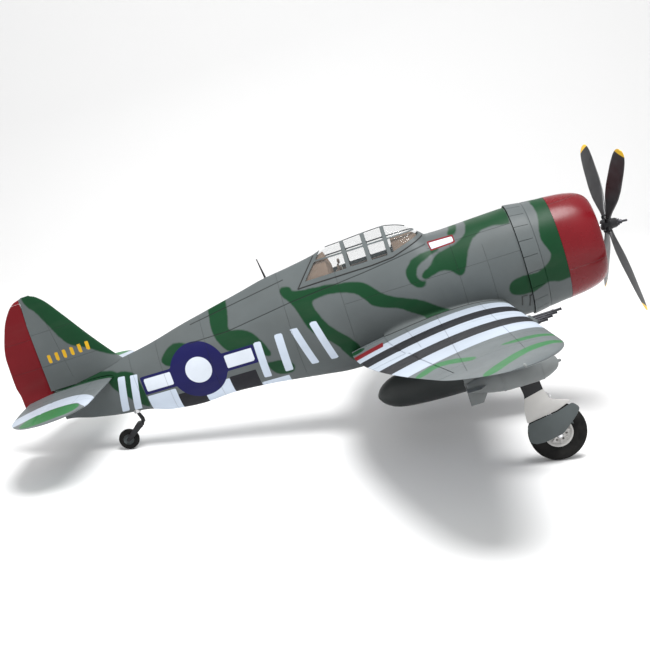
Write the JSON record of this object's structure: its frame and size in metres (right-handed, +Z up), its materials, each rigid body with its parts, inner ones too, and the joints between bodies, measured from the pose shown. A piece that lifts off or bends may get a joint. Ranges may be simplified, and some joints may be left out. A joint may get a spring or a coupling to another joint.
{
  "type": "radio control warbird aircraft",
  "caption": "Propeller-driven radio control fighter aircraft on a tail-wheel undercarriage, with moving control surfaces, flaps, folding legs and a lift-off canopy.",
  "frame": {"origin": "centre of the bounding box on the ground the three tyres stand on", "axes": "+X towards the nose, +Y towards the left wing tip, +Z up; the aircraft sits tail down, nose up 12.9 degrees"},
  "size_m": [1.0716, 1.245, 0.4497],
  "materials": {
    "camouflage": "satin grey and green camouflage",
    "red_paint": "satin dark red",
    "black_paint": "satin black",
    "white_paint": "satin white",
    "door_paint": "satin grey",
    "bright_metal": "satin",
    "gun_metal": "satin",
    "tyre": "matt",
    "canopy_clear": "clear",
    "cockpit_tan": "matt",
    "electronics": "satin",
    "carbon": "satin",
    "plywood": "bare"
  },
  "bodies": {
    "airframe": {"fuselage_shell": "camouflage", "cowl_ring": "red_paint", "cowl_panel": "camouflage", "firewall": "plywood", "motor_mount": "bright_metal", "motor_stator": "bright_metal", "dummy_engine": "bright_metal", "battery": "electronics", "speed_controller": "electronics", "receiver": "electronics", "tail_servos": "electronics", "fin": "camouflage", "tailplane": "camouflage", "right_wing": "camouflage", "left_wing": "camouflage", "wing_spar_tube": "carbon", "right_guns": "gun_metal", "left_guns": "gun_metal", "right_bomb": "camouflage", "left_bomb": "camouflage", "belly_tank": "black_paint", "antenna_mast": "black_paint", "right_aileron_servo": "electronics", "left_aileron_servo": "electronics", "right_flap_servo": "electronics", "left_flap_servo": "electronics", "right_retract_unit": "electronics", "left_retract_unit": "electronics", "tail_wheel_bracket": "bright_metal"},
    "canopy_hatch": {"cockpit_tub": "cockpit_tan", "pilot_seat": "cockpit_tan", "instrument_panel": "black_paint", "canopy_glass": "canopy_clear", "canopy_frame": "camouflage"},
    "propeller": {"propeller_hub": "black_paint", "propeller_blade_1": "black_paint", "propeller_blade_2": "black_paint", "propeller_blade_3": "black_paint", "propeller_blade_4": "black_paint", "motor_bell": "bright_metal"},
    "right_aileron_body": {"right_aileron": "camouflage"},
    "left_aileron_body": {"left_aileron": "camouflage"},
    "right_flap_body": {"right_flap": "camouflage"},
    "left_flap_body": {"left_flap": "camouflage"},
    "elevators_body": {"elevators": "camouflage"},
    "rudder_body": {"rudder": "red_paint"},
    "right_leg_body": {"right_leg": "bright_metal", "right_leg_door": "white_paint"},
    "left_leg_body": {"left_leg": "bright_metal", "left_leg_door": "white_paint"},
    "right_slider": {"right_oleo": "bright_metal", "right_wheel_door": "door_paint"},
    "left_slider": {"left_oleo": "bright_metal", "left_wheel_door": "door_paint"},
    "right_wheel": {"right_tyre": "tyre", "right_wheel_hub": "white_paint"},
    "left_wheel": {"left_tyre": "tyre", "left_wheel_hub": "white_paint"},
    "tail_fork": {"tail_wheel_fork": "black_paint"},
    "tail_wheel_body": {"tail_wheel": "tyre"}
  },
  "joints": [
    {"name": "propeller_spin", "type": "hinge", "parent": "airframe", "child": "propeller", "pos_m": [0.5016, 0, 0.32036], "axis": [0.9916, 0, 0.129], "continuous": true},
    {"name": "hatch_lift", "type": "slide", "parent": "airframe", "child": "canopy_hatch", "axis": [-0.2234, 0, 0.9747], "range_m": [0, 0.07]},
    {"name": "right_aileron_hinge", "type": "hinge", "parent": "airframe", "child": "right_aileron_body", "pos_m": [0.14104, -0.30968, 0.19258], "axis": [0.1698, -0.9778, 0.1225], "range_deg": [-22, 22]},
    {"name": "left_aileron_hinge", "type": "hinge", "parent": "airframe", "child": "left_aileron_body", "pos_m": [0.14104, 0.30968, 0.19258], "axis": [-0.1698, -0.9778, -0.1225], "range_deg": [-22, 22]},
    {"name": "right_flap_hinge", "type": "hinge", "parent": "airframe", "child": "right_flap_body", "pos_m": [0.11639, -0.07233, 0.15687], "axis": [0.0921, -0.9888, 0.1178], "range_deg": [0, 40]},
    {"name": "left_flap_hinge", "type": "hinge", "parent": "airframe", "child": "left_flap_body", "pos_m": [0.11639, 0.07233, 0.15687], "axis": [-0.0921, -0.9888, -0.1178], "range_deg": [0, 40]},
    {"name": "elevator_hinge", "type": "hinge", "parent": "airframe", "child": "elevators_body", "pos_m": [-0.43435, -0.01, 0.11578], "axis": [0, -1, 0], "range_deg": [-25, 25]},
    {"name": "rudder_hinge", "type": "hinge", "parent": "airframe", "child": "rudder_body", "pos_m": [-0.45218, 0, 0.06378], "axis": [-0.2234, 0, 0.9747], "range_deg": [-28, 28]},
    {"name": "tail_wheel_steering", "type": "hinge", "parent": "airframe", "child": "tail_fork", "pos_m": [-0.31728, 0, 0.05264], "axis": [-0.2234, 0, 0.9747], "range_deg": [-28, 28]},
    {"name": "tail_wheel_spin", "type": "hinge", "parent": "tail_fork", "child": "tail_wheel_body", "pos_m": [-0.34084, 0, 0.018], "axis": [0, 1, 0], "continuous": true},
    {"name": "right_retract", "type": "hinge", "parent": "airframe", "child": "right_leg_body", "pos_m": [0.28085, -0.2496, 0.20923], "axis": [0.8657, 0.2501, 0.4336], "range_deg": [0, 88.4]},
    {"name": "right_oleo_travel", "type": "slide", "parent": "right_leg_body", "child": "right_slider", "axis": [-0.4273, 0, 0.9041], "range_m": [0, 0.008], "stiffness_N_per_m": 800, "springref_m": -0.018},
    {"name": "right_wheel_spin", "type": "hinge", "parent": "right_slider", "child": "right_wheel", "pos_m": [0.35894, -0.2346, 0.044], "axis": [0, 1, 0], "continuous": true},
    {"name": "left_retract", "type": "hinge", "parent": "airframe", "child": "left_leg_body", "pos_m": [0.28085, 0.2496, 0.20923], "axis": [-0.8657, 0.2501, -0.4336], "range_deg": [0, 88.4]},
    {"name": "left_oleo_travel", "type": "slide", "parent": "left_leg_body", "child": "left_slider", "axis": [-0.4273, 0, 0.9041], "range_m": [0, 0.008], "stiffness_N_per_m": 800, "springref_m": -0.018},
    {"name": "left_wheel_spin", "type": "hinge", "parent": "left_slider", "child": "left_wheel", "pos_m": [0.35894, 0.2346, 0.044], "axis": [0, 1, 0], "continuous": true}
  ],
  "couplings": [
    {"joint": "left_aileron_hinge", "follows": "right_aileron_hinge", "ratio": -1},
    {"joint": "left_flap_hinge", "follows": "right_flap_hinge", "ratio": 1},
    {"joint": "tail_wheel_steering", "follows": "rudder_hinge", "ratio": 1},
    {"joint": "left_retract", "follows": "right_retract", "ratio": 1}
  ]
}
